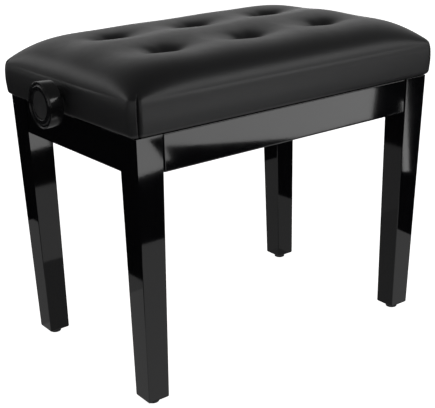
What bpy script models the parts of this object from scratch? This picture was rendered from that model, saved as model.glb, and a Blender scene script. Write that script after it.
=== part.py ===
"""Height-adjustable piano bench with a padded, buttoned seat.

A four-legged wooden frame carries a pair of crossed steel arms on each side. A threaded spindle
under the seat, turned by a knob at either end, draws a nut bar along and raises the seat.

Metres, +Z up. The origin is on the floor under the middle of the bench, +X runs along the
seat's length and -Y is the front. Everything is drawn with the seat at its lowest.
"""
import math

import bmesh
import bpy
from mathutils import Matrix, Vector

GAP = 0.0003                 # between pieces that touch
CUT_PAST = 0.010             # how far a cutter runs past what it cuts

# Wooden frame
FRAME_L = 0.550
FRAME_W = 0.3545
FRAME_TOP = 0.4075
LEG_TOP = 0.0430             # side of the square leg at its top
LEG_FOOT = 0.0349            # and at its foot
LEG_LEAN_X = 0.0070          # how far the leg's outer faces come in by the foot
LEG_LEAN_Y = 0.0125
LEG_BASE = 0.0080            # height of the leg's end above the floor
LEG_EDGE = 0.0025
APRON_HEIGHT = 0.0548
APRON_THICK = 0.0180
APRON_SET_BACK = 0.0020      # from the leg's face
APRON_EDGE = 0.0020
GLIDE_R = 0.0095
GLIDE_EDGE = 0.0010
GLIDE_PIN_R = 0.0020
GLIDE_PIN_TOP = 0.0230

# Corner blocks and the hanger bolts that pull the legs in
BLOCK_THICK = 0.0160
BLOCK_LOW = 0.3610
BLOCK_HIGH = 0.3990
BLOCK_BLANK = 0.14           # its length before the aprons' inner faces trim it
BLOCK_STAND_OFF = 0.0115     # from the leg's inner corner to the block's middle
BOLT_R = 0.0030
BOLT_IN_LEG = 0.0220
BOLT_TAIL = 0.0290
BOLT_HEIGHT = 0.3800
NUT_R = 0.0065
NUT_THICK = 0.0050

# Seat
SEAT_L = 0.566
SEAT_W = 0.368
SEAT_LOW = 0.4095
SEAT_CORNER_R = 0.020
SEAT_CORNER_MIN_R = 0.004
CORNER_TIGHTENING = 0.3      # of the distance in from the edge, lost from the corner's radius
WALL_MIDDLE = 0.020          # height in the outline below which a smaller copy starts higher
RAIL_HALF_L = 0.262          # outside of the seat's wooden frame
RAIL_HALF_W = 0.162
RAIL_THICK = 0.018
RAIL_LOW = 0.4105
RAIL_HIGH = 0.449
BOARD_THICK = 0.009
COVER_THICK = 0.0020
# The cushion's outline, from its bottom edge up over the crown: distance in from the widest
# outline, and height above SEAT_LOW.
SEAT_PROFILE = (
    (0.0080, 0.0000), (0.0025, 0.0025), (0.0000, 0.0090), (0.0000, 0.0495), (0.0018, 0.0600),
    (0.0050, 0.0657), (0.0100, 0.0708), (0.0200, 0.0773), (0.0350, 0.0834), (0.0550, 0.0883),
    (0.0850, 0.0924), (0.1300, 0.0940),
)
BUTTON_X = 0.151
BUTTON_Y = 0.0680
BUTTON_R = 0.0062
DIMPLE_FLOOR = 0.4800
DIMPLE_FLOOR_R = 0.0075
DIMPLE_MOUTH = 0.5100
DIMPLE_MOUTH_R = 0.0250

# Lifting gear
ARM_LENGTH = 0.340
ARM_WIDTH = 0.020
ARM_THICK = 0.004
PIVOT_X = 0.1676             # fixed pivots at -X, sliding ends at +X when the seat is down
LOW_PIVOT_Z = 0.3717
HIGH_PIVOT_Z = 0.4285        # also the spindle's height
LIFT = 0.070
AXLE_R = 0.0050
AXLE_HOLE_R = 0.0053
CENTRE_PIN_R = 0.0040
CENTRE_HOLE_R = 0.0046       # loose, because the lift's rise is not quite even
OUTER_ARM_Y = 0.1385
INNER_ARM_Y = 0.1315
STRIP_INNER_Y = 0.1412       # steel strips on the aprons and on the seat frame
STRIP_THICK = 0.0025
STRIP_HALF_L = 0.180
LOW_STRIP_Z = (0.3555, 0.3915)
HIGH_STRIP_Z = (0.4169, 0.4401)
SLOT_R = 0.0058
SLIDE_PLAY = 0.0005          # the slots' spare length at each end
PIN_HEAD = 0.0025
CENTRE_PIN_HEAD_R = 0.007
SEAT_PIVOT_HEAD_R = 0.008
AXLE_TIP_Y = 0.1436          # just inside the strips' outer faces
NUT_BAR_SIDE = 0.016
NUT_BAR_HALF_L = 0.128
NUT_BORE_R = 0.0067

# Spindle and knobs
SPINDLE_R = 0.0060
THREAD_ROOT_R = 0.0051
THREAD_PITCH = 0.004
THREAD_START = 0.130
THREAD_TURNS = 13
COLLAR_R = 0.0090
COLLAR_FACE = 0.2425
COLLAR_THICK = 0.005
SPINDLE_END = 0.3090
BUSH_R = 0.0090
BUSH_HOLE_R = 0.0093
BUSH_PLAY = 0.00025
BUSH_FLANGE_R = 0.0120
BUSH_IN = 0.2430
BUSH_FLANGE = (0.2836, 0.2866)
KNOB_BACK = 0.2975
KNOB_R = 0.0336
KNOB_THICK = 0.0210
KNOB_BORE_R = 0.0063
KNOB_BORE_DEPTH = 0.0133
CAP_R = 0.0202

LACQUER = ("black_lacquer", (0.012, 0.012, 0.013), 0.10, 0.0)
LEATHERETTE = ("black_leatherette", (0.030, 0.030, 0.031), 0.45, 0.0)
FOAM = ("foam", (0.70, 0.66, 0.52), 0.95, 0.0)
RAW_WOOD = ("raw_wood", (0.45, 0.30, 0.17), 0.70, 0.0)
STEEL = ("zinc_steel", (0.55, 0.56, 0.58), 0.35, 1.0)
DARK_STEEL = ("black_steel", (0.030, 0.030, 0.032), 0.40, 0.6)
KNOB_PLASTIC = ("knob_plastic", (0.014, 0.014, 0.015), 0.18, 0.0)
GLIDE_PLASTIC = ("glide_plastic", (0.035, 0.035, 0.036), 0.55, 0.0)


def clear_scene():
    """Remove what the scene holds."""
    for obj in list(bpy.data.objects):
        bpy.data.objects.remove(obj, do_unlink=True)


def collection(name):
    """Make a collection in the scene."""
    group = bpy.data.collections.new(name)
    bpy.context.scene.collection.children.link(group)
    return group


def material(spec):
    """The Principled material that spec describes, made once."""
    name, colour, roughness, metallic = spec
    if name in bpy.data.materials:
        return bpy.data.materials[name]
    made = bpy.data.materials.new(name)
    made.use_nodes = True
    shader = made.node_tree.nodes["Principled BSDF"]
    shader.inputs["Base Color"].default_value = (*colour, 1.0)
    shader.inputs["Roughness"].default_value = roughness
    shader.inputs["Metallic"].default_value = metallic
    made.diffuse_color = (*colour, 1.0)
    return made


def finish(name, bm, spec, location=(0, 0, 0), rotation=(0, 0, 0)):
    """Turn a bmesh into a part, or into a cutter where spec is None."""
    mesh = bpy.data.meshes.new(name)
    bm.to_mesh(mesh)
    bm.free()
    obj = bpy.data.objects.new(name, mesh)
    obj.location = location
    obj.rotation_euler = rotation
    if spec is None:
        CUTTERS.objects.link(obj)
        obj.hide_render = True
        obj.display_type = "WIRE"
    else:
        PARTS.objects.link(obj)
        mesh.materials.append(material(spec))
    return obj


def round_off(obj):
    """Shade a round piece smooth, apart from its real edges."""
    obj.data.shade_smooth()
    obj.data.set_sharp_from_angle(angle=math.radians(35))
    return obj


def bevel(obj, width, segments=2):
    """Round the edges of a piece."""
    modifier = obj.modifiers.new("rounded_edges", "BEVEL")
    modifier.width = width
    modifier.segments = segments
    modifier.limit_method = "ANGLE"
    return obj


def boolean(obj, other, operation="DIFFERENCE"):
    """Cut a piece with, or join it to, another mesh."""
    modifier = obj.modifiers.new(other.name, "BOOLEAN")
    modifier.operation = operation
    modifier.object = other
    modifier.solver = "EXACT"
    return obj


def box(name, low, high, spec, edge=0.0, segments=2):
    """A block between two corners."""
    size = [top - bottom for bottom, top in zip(low, high)]
    middle = [(top + bottom) / 2 for bottom, top in zip(low, high)]
    bm = bmesh.new()
    bmesh.ops.create_cube(bm, size=1.0)
    bmesh.ops.scale(bm, vec=size, verts=bm.verts)
    obj = finish(name, bm, spec, middle)
    if edge:
        bevel(obj, edge, segments)
    return obj


def rod(name, start, end, radius, spec, segments=20):
    """A straight round bar between two points."""
    start, end = Vector(start), Vector(end)
    run = end - start
    bm = bmesh.new()
    bmesh.ops.create_cone(bm, cap_ends=True, segments=segments, radius1=radius, radius2=radius,
                          depth=run.length)
    turn = run.to_track_quat("Z", "Y").to_euler()
    return round_off(finish(name, bm, spec, (start + end) / 2, turn))


def stadium(name, radius, length, thick, spec, location, tilt=0.0, segments=20):
    """A flat bar with round ends, in the XZ plane: its first end's centre is at location."""
    bm = bmesh.new()
    bmesh.ops.create_cone(bm, cap_ends=True, segments=segments, radius1=radius, radius2=radius,
                          depth=thick, matrix=Matrix.Rotation(math.radians(90), 4, "X"))
    far_end = [vert for vert in bm.verts if vert.co.x > radius * 0.01]
    bmesh.ops.translate(bm, vec=(length, 0, 0), verts=far_end)
    return finish(name, bm, spec, location, (0, tilt, 0))


def turned(name, profile, spec, location=(0, 0, 0), facing="+Z", steps=24, ring=False):
    """A turned piece: (radius, height) points down its outside, from its axis back to its axis.

    facing says which way the height runs; a ring's profile closes on itself off the axis.
    """
    mesh_bm = bmesh.new()
    points = [mesh_bm.verts.new((radius, 0, height)) for radius, height in profile]
    for one, two in zip(points, points[1:]):
        mesh_bm.edges.new((one, two))
    if ring:
        mesh_bm.edges.new((points[-1], points[0]))
    turns = {"+Z": (0, 0, 0), "+X": (0, math.radians(90), 0), "-X": (0, math.radians(-90), 0),
             "+Y": (math.radians(-90), 0, 0), "-Y": (math.radians(90), 0, 0)}
    obj = finish(name, mesh_bm, spec, location, turns[facing])
    screw = obj.modifiers.new("turned", "SCREW")
    screw.axis = "Z"
    screw.steps = steps
    screw.render_steps = steps
    screw.use_merge_vertices = True
    screw.merge_threshold = 0.00001
    screw.use_smooth_shade = True
    return obj


def empty(name, location):
    """A joint's place."""
    obj = bpy.data.objects.new(name, None)
    obj.empty_display_size = 0.03
    obj.location = location
    PARTS.objects.link(obj)
    return obj


def carry(parent, pieces):
    """Parent pieces to a joint's empty where they stand."""
    for piece in pieces:
        piece.parent = parent
        piece.matrix_parent_inverse = Matrix.Translation(-parent.location)


CORNERS = {"front_left": (-1, -1), "front_right": (1, -1),
           "back_left": (-1, 1), "back_right": (1, 1)}
SIDES = {"front": -1, "back": 1}
ENDS = {"left": -1, "right": 1}


# ---------------------------------------------------------------- wooden frame

def make_leg(corner, sign_x, sign_y):
    """A square leg that tapers towards its foot, bored for its glide and its bolt."""
    middle = (sign_x * (FRAME_L - LEG_TOP) / 2, sign_y * (FRAME_W - LEG_TOP) / 2, 0)
    bm = bmesh.new()
    bmesh.ops.create_cube(bm, size=1.0)
    for vert in bm.verts:
        at_top = vert.co.z > 0
        side = LEG_TOP if at_top else LEG_FOOT
        for axis, sign, half, lean in ((0, sign_x, FRAME_L / 2, LEG_LEAN_X),
                                       (1, sign_y, FRAME_W / 2, LEG_LEAN_Y)):
            outer = half if at_top else half - lean
            outside = vert.co[axis] * sign > 0
            place = outer if outside else outer - side
            vert.co[axis] = sign * place - middle[axis]
        vert.co.z = FRAME_TOP if at_top else LEG_BASE
    leg = bevel(finish("leg_" + corner, bm, LACQUER, middle), LEG_EDGE)
    foot_x, foot_y = foot_centre(sign_x, sign_y)
    boolean(leg, rod("glide_hole_" + corner, (foot_x, foot_y, 0),
                     (foot_x, foot_y, GLIDE_PIN_TOP + 2 * GAP), GLIDE_PIN_R + GAP, None, 12))
    boolean(leg, bolt_hole(corner, sign_x, sign_y))
    return leg


def foot_centre(sign_x, sign_y):
    """Middle of a leg's foot."""
    return (sign_x * (FRAME_L / 2 - LEG_LEAN_X - LEG_FOOT / 2),
            sign_y * (FRAME_W / 2 - LEG_LEAN_Y - LEG_FOOT / 2))


def make_glide(corner, sign_x, sign_y):
    """A round plastic glide with its nail."""
    profile = ((0, GLIDE_PIN_TOP), (GLIDE_PIN_R, GLIDE_PIN_TOP), (GLIDE_PIN_R, LEG_BASE - GAP),
               (GLIDE_R - GLIDE_EDGE, LEG_BASE - GAP), (GLIDE_R, LEG_BASE - GLIDE_EDGE),
               (GLIDE_R, GLIDE_EDGE), (GLIDE_R - GLIDE_EDGE, 0.0), (0, 0))
    x, y = foot_centre(sign_x, sign_y)
    return turned("glide_" + corner, profile, GLIDE_PLASTIC, (x, y, 0), steps=16)


def make_aprons():
    """The four rails between the legs, whose inner faces come in a little on their way down."""
    low = FRAME_TOP - APRON_HEIGHT
    comes_in = (LEG_LEAN_Y - LEG_TOP + LEG_FOOT) * APRON_HEIGHT / (FRAME_TOP - LEG_BASE)
    reach_x = FRAME_L / 2 - LEG_TOP - GAP
    reach_y = FRAME_W / 2 - LEG_TOP - comes_in - GAP
    for side, sign in SIDES.items():
        outer = sign * (FRAME_W / 2 - APRON_SET_BACK)
        inner = outer - sign * APRON_THICK
        box("apron_" + side, (-reach_x, min(outer, inner), low),
            (reach_x, max(outer, inner), FRAME_TOP), LACQUER, APRON_EDGE)
    for end, sign in ENDS.items():
        outer = sign * (FRAME_L / 2 - APRON_SET_BACK)
        inner = outer - sign * APRON_THICK
        box("apron_" + end, (min(outer, inner), -reach_y, low),
            (max(outer, inner), reach_y, FRAME_TOP), LACQUER, APRON_EDGE)


def inward(sign_x, sign_y, distance):
    """A point on the bolt's line, this far in from the leg's inner corner edge."""
    step = distance / math.sqrt(2)
    return (sign_x * (FRAME_L / 2 - LEG_TOP - step), sign_y * (FRAME_W / 2 - LEG_TOP - step),
            BOLT_HEIGHT)


def bolt_hole(corner, sign_x, sign_y):
    """Cutter for the hanger bolt's hole in the leg, the block and the nut."""
    name = "bolt_hole_" + corner
    if name in bpy.data.objects:
        return bpy.data.objects[name]
    return rod(name, inward(sign_x, sign_y, -BOLT_IN_LEG - GAP),
               inward(sign_x, sign_y, BOLT_TAIL + CUT_PAST), BOLT_R + GAP, None, 16)


def make_corner_joint(corner, sign_x, sign_y):
    """The glued block across a corner, its hanger bolt and nut."""
    middle = Vector(inward(sign_x, sign_y, BLOCK_STAND_OFF))
    middle.z = (BLOCK_LOW + BLOCK_HIGH) / 2
    bm = bmesh.new()
    bmesh.ops.create_cube(bm, size=1.0)
    bmesh.ops.scale(bm, vec=(BLOCK_THICK, BLOCK_BLANK, BLOCK_HIGH - BLOCK_LOW), verts=bm.verts)
    across = math.atan2(sign_y, sign_x)
    block = finish("corner_block_" + corner, bm, RAW_WOOD, middle, (0, 0, across))
    boolean(block, APRON_INSIDE, "INTERSECT")
    boolean(block, bolt_hole(corner, sign_x, sign_y))
    rod("leg_bolt_" + corner, inward(sign_x, sign_y, -BOLT_IN_LEG),
        inward(sign_x, sign_y, BOLT_TAIL), BOLT_R, STEEL, 12)
    face = BLOCK_STAND_OFF + BLOCK_THICK / 2 + GAP
    nut = rod("leg_nut_" + corner, inward(sign_x, sign_y, face),
              inward(sign_x, sign_y, face + NUT_THICK), NUT_R, STEEL, 6)
    boolean(nut, bolt_hole(corner, sign_x, sign_y))


# ---------------------------------------------------------------- lifting gear

def axle_hole(name, x, z, sign, radius=AXLE_HOLE_R):
    """Cutter for a round hole through the strips and arms of one side."""
    return rod(name, (x, sign * (STRIP_INNER_Y - CUT_PAST), z),
               (x, sign * (STRIP_INNER_Y + CUT_PAST), z), radius, None)


def slide_slot(name, z, sign):
    """Cutter for the slot that a sliding axle runs in."""
    rise = HIGH_PIVOT_Z - LOW_PIVOT_Z + LIFT
    lifted_x = math.sqrt(ARM_LENGTH ** 2 - rise ** 2) - PIVOT_X
    return stadium(name, SLOT_R, PIVOT_X - lifted_x + 2 * SLIDE_PLAY, 2 * CUT_PAST, None,
                   (lifted_x - SLIDE_PLAY, sign * (STRIP_INNER_Y + STRIP_THICK / 2), z))


def make_strips(side, sign):
    """The slotted steel strips: an angle on the apron and a flat strip on the seat's frame."""
    faces = (sign * STRIP_INNER_Y, sign * (STRIP_INNER_Y + STRIP_THICK))
    low_strip = box("base_strip_" + side, (-STRIP_HALF_L, min(faces), LOW_STRIP_Z[0]),
                    (STRIP_HALF_L, max(faces), LOW_STRIP_Z[1]), DARK_STEEL)
    apron_face = sign * (FRAME_W / 2 - APRON_SET_BACK - APRON_THICK - GAP)
    reach = (sign * (STRIP_INNER_Y + STRIP_THICK / 2), apron_face)
    flange = box("base_flange_" + side, (-STRIP_HALF_L, min(reach), LOW_STRIP_Z[0]),
                 (STRIP_HALF_L, max(reach), LOW_STRIP_Z[0] + STRIP_THICK), None)
    boolean(low_strip, flange, "UNION")
    boolean(low_strip, slide_slot("low_slot_" + side, LOW_PIVOT_Z, sign))
    boolean(low_strip, axle_hole("low_hole_" + side, -PIVOT_X, LOW_PIVOT_Z, sign))
    high_strip = box("seat_strip_" + side, (-STRIP_HALF_L, min(faces), HIGH_STRIP_Z[0]),
                     (STRIP_HALF_L, max(faces), HIGH_STRIP_Z[1]), DARK_STEEL)
    boolean(high_strip, slide_slot("high_slot_" + side, HIGH_PIVOT_Z, sign))
    boolean(high_strip, axle_hole("high_hole_" + side, -PIVOT_X, HIGH_PIVOT_Z, sign))
    return high_strip


def make_arm(name, sign_y, y, z, tilt, centre_hole_r):
    """One flat lifting arm, drawn from its fixed pivot, with its three holes."""
    place = (-PIVOT_X, sign_y * y, z)
    arm = stadium(name, ARM_WIDTH / 2, ARM_LENGTH, ARM_THICK, DARK_STEEL, place, tilt)
    for tag, along, radius in (("pivot", 0, AXLE_HOLE_R), ("centre", ARM_LENGTH / 2, centre_hole_r),
                               ("end", ARM_LENGTH, AXLE_HOLE_R)):
        x = place[0] + along * math.cos(tilt)
        z_hole = z - along * math.sin(tilt)
        boolean(arm, rod(name + "_" + tag + "_hole", (x, place[1] - CUT_PAST, z_hole),
                         (x, place[1] + CUT_PAST, z_hole), radius, None))
    return arm


def headed_pin(name, x, z, sign, radius, head_r, tip_y):
    """A pivot pin whose head lies inside the inner arm."""
    start = INNER_ARM_Y - ARM_THICK / 2 - GAP - PIN_HEAD
    profile = ((0, tip_y - start), (radius, tip_y - start), (radius, PIN_HEAD),
               (head_r, PIN_HEAD), (head_r, 0), (0, 0))
    return turned(name, profile, STEEL, (x, sign * start, z), "+Y" if sign > 0 else "-Y", 16)


def make_lift():
    """Arms, axles, pins and the nut bar, each on its joint's empty."""
    tilt = math.asin((HIGH_PIVOT_Z - LOW_PIVOT_Z) / ARM_LENGTH)
    centre = (0.0, (HIGH_PIVOT_Z + LOW_PIVOT_Z) / 2)
    outer, inner, seat_pins, strips = [], [], [], []
    for side, sign in SIDES.items():
        strips.append(make_strips(side, sign))
        outer.append(make_arm("outer_arm_" + side, sign, OUTER_ARM_Y, LOW_PIVOT_Z, -tilt,
                              CENTRE_PIN_R + GAP))
        inner.append(make_arm("inner_arm_" + side, sign, INNER_ARM_Y, HIGH_PIVOT_Z, tilt,
                              CENTRE_HOLE_R))
        outer.append(headed_pin("centre_pin_" + side, centre[0], centre[1], sign, CENTRE_PIN_R,
                                CENTRE_PIN_HEAD_R, OUTER_ARM_Y + ARM_THICK / 2 + GAP))
        seat_pins.append(headed_pin("seat_pivot_" + side, -PIVOT_X, HIGH_PIVOT_Z, sign, AXLE_R,
                                    SEAT_PIVOT_HEAD_R, AXLE_TIP_Y))
    rod("base_axle", (-PIVOT_X, -AXLE_TIP_Y, LOW_PIVOT_Z), (-PIVOT_X, AXLE_TIP_Y, LOW_PIVOT_Z),
        AXLE_R, STEEL)
    inner.append(rod("sliding_axle", (PIVOT_X, -AXLE_TIP_Y, LOW_PIVOT_Z),
                     (PIVOT_X, AXLE_TIP_Y, LOW_PIVOT_Z), AXLE_R, STEEL))
    carry(empty("outer_arms_joint", Vector((-PIVOT_X, 0, LOW_PIVOT_Z))), outer)
    inner_joint = empty("inner_arms_joint", Vector((-PIVOT_X, 0, HIGH_PIVOT_Z)))
    carry(inner_joint, inner)
    return strips + seat_pins + [inner_joint]


def make_nut_bar():
    """The square cross bar that the spindle draws along; its round ends lift the outer arms."""
    half = NUT_BAR_SIDE / 2
    bar = box("nut_bar", (PIVOT_X - half, -NUT_BAR_HALF_L, HIGH_PIVOT_Z - half),
              (PIVOT_X + half, NUT_BAR_HALF_L, HIGH_PIVOT_Z + half), STEEL)
    boolean(bar, rod("nut_bar_ends", (PIVOT_X, -AXLE_TIP_Y, HIGH_PIVOT_Z),
                     (PIVOT_X, AXLE_TIP_Y, HIGH_PIVOT_Z), AXLE_R, None), "UNION")
    boolean(bar, rod("nut_bore", (PIVOT_X - half - CUT_PAST, 0, HIGH_PIVOT_Z),
                     (PIVOT_X + half + CUT_PAST, 0, HIGH_PIVOT_Z), NUT_BORE_R, None))
    return bar


def make_spindle():
    """The threaded spindle, whose height runs from its left end to its right."""
    outline = [(0, SPINDLE_END), (SPINDLE_R, SPINDLE_END), (SPINDLE_R, COLLAR_FACE),
               (COLLAR_R, COLLAR_FACE), (COLLAR_R, COLLAR_FACE - COLLAR_THICK),
               (SPINDLE_R, COLLAR_FACE - COLLAR_THICK)]
    for turn in reversed(range(THREAD_TURNS + 1)):
        crest = THREAD_START + turn * THREAD_PITCH
        outline.append((SPINDLE_R, crest))
        if turn:
            outline.append((THREAD_ROOT_R, crest - THREAD_PITCH / 2))
    outline += [(SPINDLE_R, COLLAR_THICK - COLLAR_FACE), (COLLAR_R, COLLAR_THICK - COLLAR_FACE),
                (COLLAR_R, -COLLAR_FACE), (SPINDLE_R, -COLLAR_FACE), (SPINDLE_R, -SPINDLE_END),
                (0, -SPINDLE_END)]
    return turned("spindle", outline, STEEL, (0, 0, HIGH_PIVOT_Z), "+X", 16)


def make_bush(end, sign):
    """The flanged bush that carries the spindle in the seat's end rail."""
    bore = SPINDLE_R + BUSH_PLAY
    long = BUSH_FLANGE[1] - BUSH_IN
    flange = BUSH_FLANGE[0] - BUSH_IN
    profile = ((bore, long), (BUSH_FLANGE_R, long), (BUSH_FLANGE_R, flange), (BUSH_R, flange),
               (BUSH_R, 0), (bore, 0))
    return turned("spindle_bush_" + end, profile, GLIDE_PLASTIC,
                  (sign * BUSH_IN, 0, HIGH_PIVOT_Z), "+X" if sign > 0 else "-X", 20, ring=True)


def make_knob(end, sign):
    """A thick round knob with a ringed face, and the disc that covers its middle."""
    body = ((0, 0.0165), (CAP_R + GAP, 0.0165), (CAP_R + GAP, 0.0200), (0.0222, KNOB_THICK),
            (0.0255, 0.0208), (0.0275, 0.0190), (0.0295, 0.0190), (0.0306, 0.0206),
            (0.0324, 0.0206), (KNOB_R, 0.0194), (KNOB_R, 0.0016), (KNOB_R - 0.0014, 0),
            (KNOB_BORE_R, 0), (KNOB_BORE_R, KNOB_BORE_DEPTH), (0, KNOB_BORE_DEPTH))
    disc = ((0, 0.0186), (0.0100, 0.0189), (0.0188, 0.0198), (CAP_R, 0.0192), (CAP_R, 0.0168),
            (0, 0.0168))
    place = (sign * KNOB_BACK, 0, HIGH_PIVOT_Z)
    facing = "+X" if sign > 0 else "-X"
    return [turned("knob_" + end, body, KNOB_PLASTIC, place, facing, 32),
            turned("knob_cap_" + end, disc, KNOB_PLASTIC, place, facing, 24)]


# ---------------------------------------------------------------- seat

def cushion_block(name, inset, spec, open_below=0.0):
    """The cushion's outer shape, shrunk by inset: a loft up its outline and over its crown."""
    corner_steps = 4
    sections = [(SEAT_PROFILE[0][0] + inset, SEAT_LOW - open_below)] if open_below else []
    sections += [(d + inset, SEAT_LOW + h - (inset if h > WALL_MIDDLE else 0)) for d, h in SEAT_PROFILE]
    if not open_below:
        sections[0] = (sections[0][0], SEAT_LOW + inset)
        sections[1] = (sections[1][0], SEAT_LOW + SEAT_PROFILE[1][1] + inset)
    bm = bmesh.new()
    rings = []
    for distance, height in sections:
        half_x, half_y = SEAT_L / 2 - distance, SEAT_W / 2 - distance
        radius = max(SEAT_CORNER_R - distance * CORNER_TIGHTENING, SEAT_CORNER_MIN_R)
        ring = []
        for number, (sx, sy) in enumerate(((1, 1), (-1, 1), (-1, -1), (1, -1))):
            for step in range(corner_steps + 1):
                angle = math.radians(90 * (number + step / corner_steps))
                ring.append(bm.verts.new((sx * (half_x - radius) + radius * math.cos(angle),
                                          sy * (half_y - radius) + radius * math.sin(angle),
                                          height)))
        rings.append(ring)
    for lower, upper in zip(rings, rings[1:]):
        for index in range(len(lower)):
            after = (index + 1) % len(lower)
            bm.faces.new((lower[index], lower[after], upper[after], upper[index]))
    bm.faces.new(reversed(rings[0]))
    bm.faces.new(rings[-1])
    return finish(name, bm, spec)


def button_places():
    """The six buttons' places, numbered from the front left."""
    places = [(x, y) for y in (-BUTTON_Y, BUTTON_Y) for x in (-BUTTON_X, 0.0, BUTTON_X)]
    return list(enumerate(places, start=1))


def dimples(name, grow):
    """Cutter with the six button dimples, widened by grow on their sloping sides."""
    bm = bmesh.new()
    depth = DIMPLE_MOUTH - DIMPLE_FLOOR + grow
    for _, (x, y) in button_places():
        place = Matrix.Translation((x, y, DIMPLE_FLOOR - grow + depth / 2))
        bmesh.ops.create_cone(bm, cap_ends=True, segments=20, radius1=DIMPLE_FLOOR_R + 1.5 * grow,
                              radius2=DIMPLE_MOUTH_R + 1.5 * grow, depth=depth, matrix=place)
    return finish(name, bm, None)


def make_cushion():
    """The leatherette cover, an open-bottomed shell, and the foam inside it."""
    shaft_hole = rod("shaft_hole", (-KNOB_BACK, 0, HIGH_PIVOT_Z), (KNOB_BACK, 0, HIGH_PIVOT_Z),
                     BUSH_HOLE_R, None, 20)
    cover = cushion_block("seat_cover", 0.0, LEATHERETTE)
    core = cushion_block("cover_inside", COVER_THICK, None, open_below=CUT_PAST)
    boolean(core, dimples("dimples_inside", COVER_THICK))
    boolean(cover, dimples("dimples_outside", 0.0))
    boolean(cover, core)
    boolean(cover, shaft_hole)
    foam = cushion_block("foam_pad", COVER_THICK + GAP, FOAM)
    boolean(foam, dimples("dimples_foam", COVER_THICK + GAP))
    board_top = RAIL_HIGH + GAP + BOARD_THICK
    cavity = box("board_and_frame_space",
                 (-RAIL_HALF_L - GAP, -RAIL_HALF_W - GAP, SEAT_LOW - CUT_PAST),
                 (RAIL_HALF_L + GAP, RAIL_HALF_W + GAP, board_top + GAP), None)
    boolean(foam, cavity)
    boolean(foam, shaft_hole)
    return [cover, foam], shaft_hole


def make_buttons():
    """Domed, covered buttons at the bottom of the dimples."""
    profile = ((0, 0.0042), (0.0028, 0.0038), (0.0052, 0.0023), (BUTTON_R, 0.0009),
               (BUTTON_R - 0.0005, 0), (0, 0))
    return [turned("button_%d" % number, profile, LEATHERETTE, (x, y, DIMPLE_FLOOR + GAP),
                   steps=16) for number, (x, y) in button_places()]


def make_seat_frame(shaft_hole):
    """The wooden frame and board that the cushion is stapled to."""
    pieces = []
    for side, sign in SIDES.items():
        faces = (sign * RAIL_HALF_W, sign * (RAIL_HALF_W - RAIL_THICK))
        pieces.append(box("seat_rail_" + side, (-RAIL_HALF_L, min(faces), RAIL_LOW),
                          (RAIL_HALF_L, max(faces), RAIL_HIGH), RAW_WOOD))
    for end, sign in ENDS.items():
        faces = (sign * RAIL_HALF_L, sign * (RAIL_HALF_L - RAIL_THICK))
        reach = RAIL_HALF_W - RAIL_THICK - GAP
        rail = box("seat_rail_" + end, (min(faces), -reach, RAIL_LOW),
                   (max(faces), reach, RAIL_HIGH), RAW_WOOD)
        pieces.append(boolean(rail, shaft_hole))
    pieces.append(box("seat_board", (-RAIL_HALF_L, -RAIL_HALF_W, RAIL_HIGH + GAP),
                      (RAIL_HALF_L, RAIL_HALF_W, RAIL_HIGH + GAP + BOARD_THICK), RAW_WOOD))
    return pieces


# ---------------------------------------------------------------- assembly

clear_scene()
PARTS = collection("piano_bench")
CUTTERS = collection("cutters")

inside_x = FRAME_L / 2 - APRON_SET_BACK - APRON_THICK - GAP
inside_y = FRAME_W / 2 - APRON_SET_BACK - APRON_THICK - GAP
APRON_INSIDE = box("apron_inside", (-inside_x, -inside_y, BLOCK_LOW - CUT_PAST),
                   (inside_x, inside_y, BLOCK_HIGH + CUT_PAST), None)

for corner_name, (side_x, side_y) in CORNERS.items():
    make_leg(corner_name, side_x, side_y)
    make_glide(corner_name, side_x, side_y)
    make_corner_joint(corner_name, side_x, side_y)
make_aprons()

seat_pieces = make_lift()
cushion, end_hole = make_cushion()
seat_pieces += cushion + make_buttons() + make_seat_frame(end_hole)
spindle_joint = empty("spindle_joint", Vector((0, 0, HIGH_PIVOT_Z)))
spindle_pieces = [make_spindle()]
for end_name, end_sign in ENDS.items():
    seat_pieces.append(make_bush(end_name, end_sign))
    spindle_pieces += make_knob(end_name, end_sign)
carry(spindle_joint, spindle_pieces)
carry(empty("nut_joint", Vector((PIVOT_X, 0, HIGH_PIVOT_Z))), [make_nut_bar()])
carry(empty("seat_lift_joint", Vector((0, 0, SEAT_LOW))), seat_pieces + [spindle_joint])
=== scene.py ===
"""Looks of a height-adjustable piano bench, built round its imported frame.

Black lacquered legs and aprons carry a box-edged leatherette cushion with six deep buttons. Two
moulded knobs turn the spindle that raises the seat on crossed steel arms.
"""

import math

import bmesh
import bpy
import numpy as np
from bpy.props import FloatProperty, FloatVectorProperty, IntProperty, PointerProperty
from mathutils import Matrix, Vector


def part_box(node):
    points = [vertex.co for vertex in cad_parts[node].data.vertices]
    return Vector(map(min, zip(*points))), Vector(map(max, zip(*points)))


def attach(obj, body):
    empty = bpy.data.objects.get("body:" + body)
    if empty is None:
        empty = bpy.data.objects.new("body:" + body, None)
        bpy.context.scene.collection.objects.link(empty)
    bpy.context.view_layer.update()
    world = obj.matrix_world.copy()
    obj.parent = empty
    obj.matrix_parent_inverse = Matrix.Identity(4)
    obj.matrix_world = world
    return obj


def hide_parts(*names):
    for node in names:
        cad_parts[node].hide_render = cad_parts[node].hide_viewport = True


bl_info = {
    "name": "Piano Bench",
    "version": (1, 0, 0),
    "blender": (4, 5, 0),
    "location": "3D View > Sidebar > Piano Bench",
    "description": "Builds the lacquer, leatherette and lifting gear of a piano bench",
    "category": "Add Mesh",
}

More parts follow.
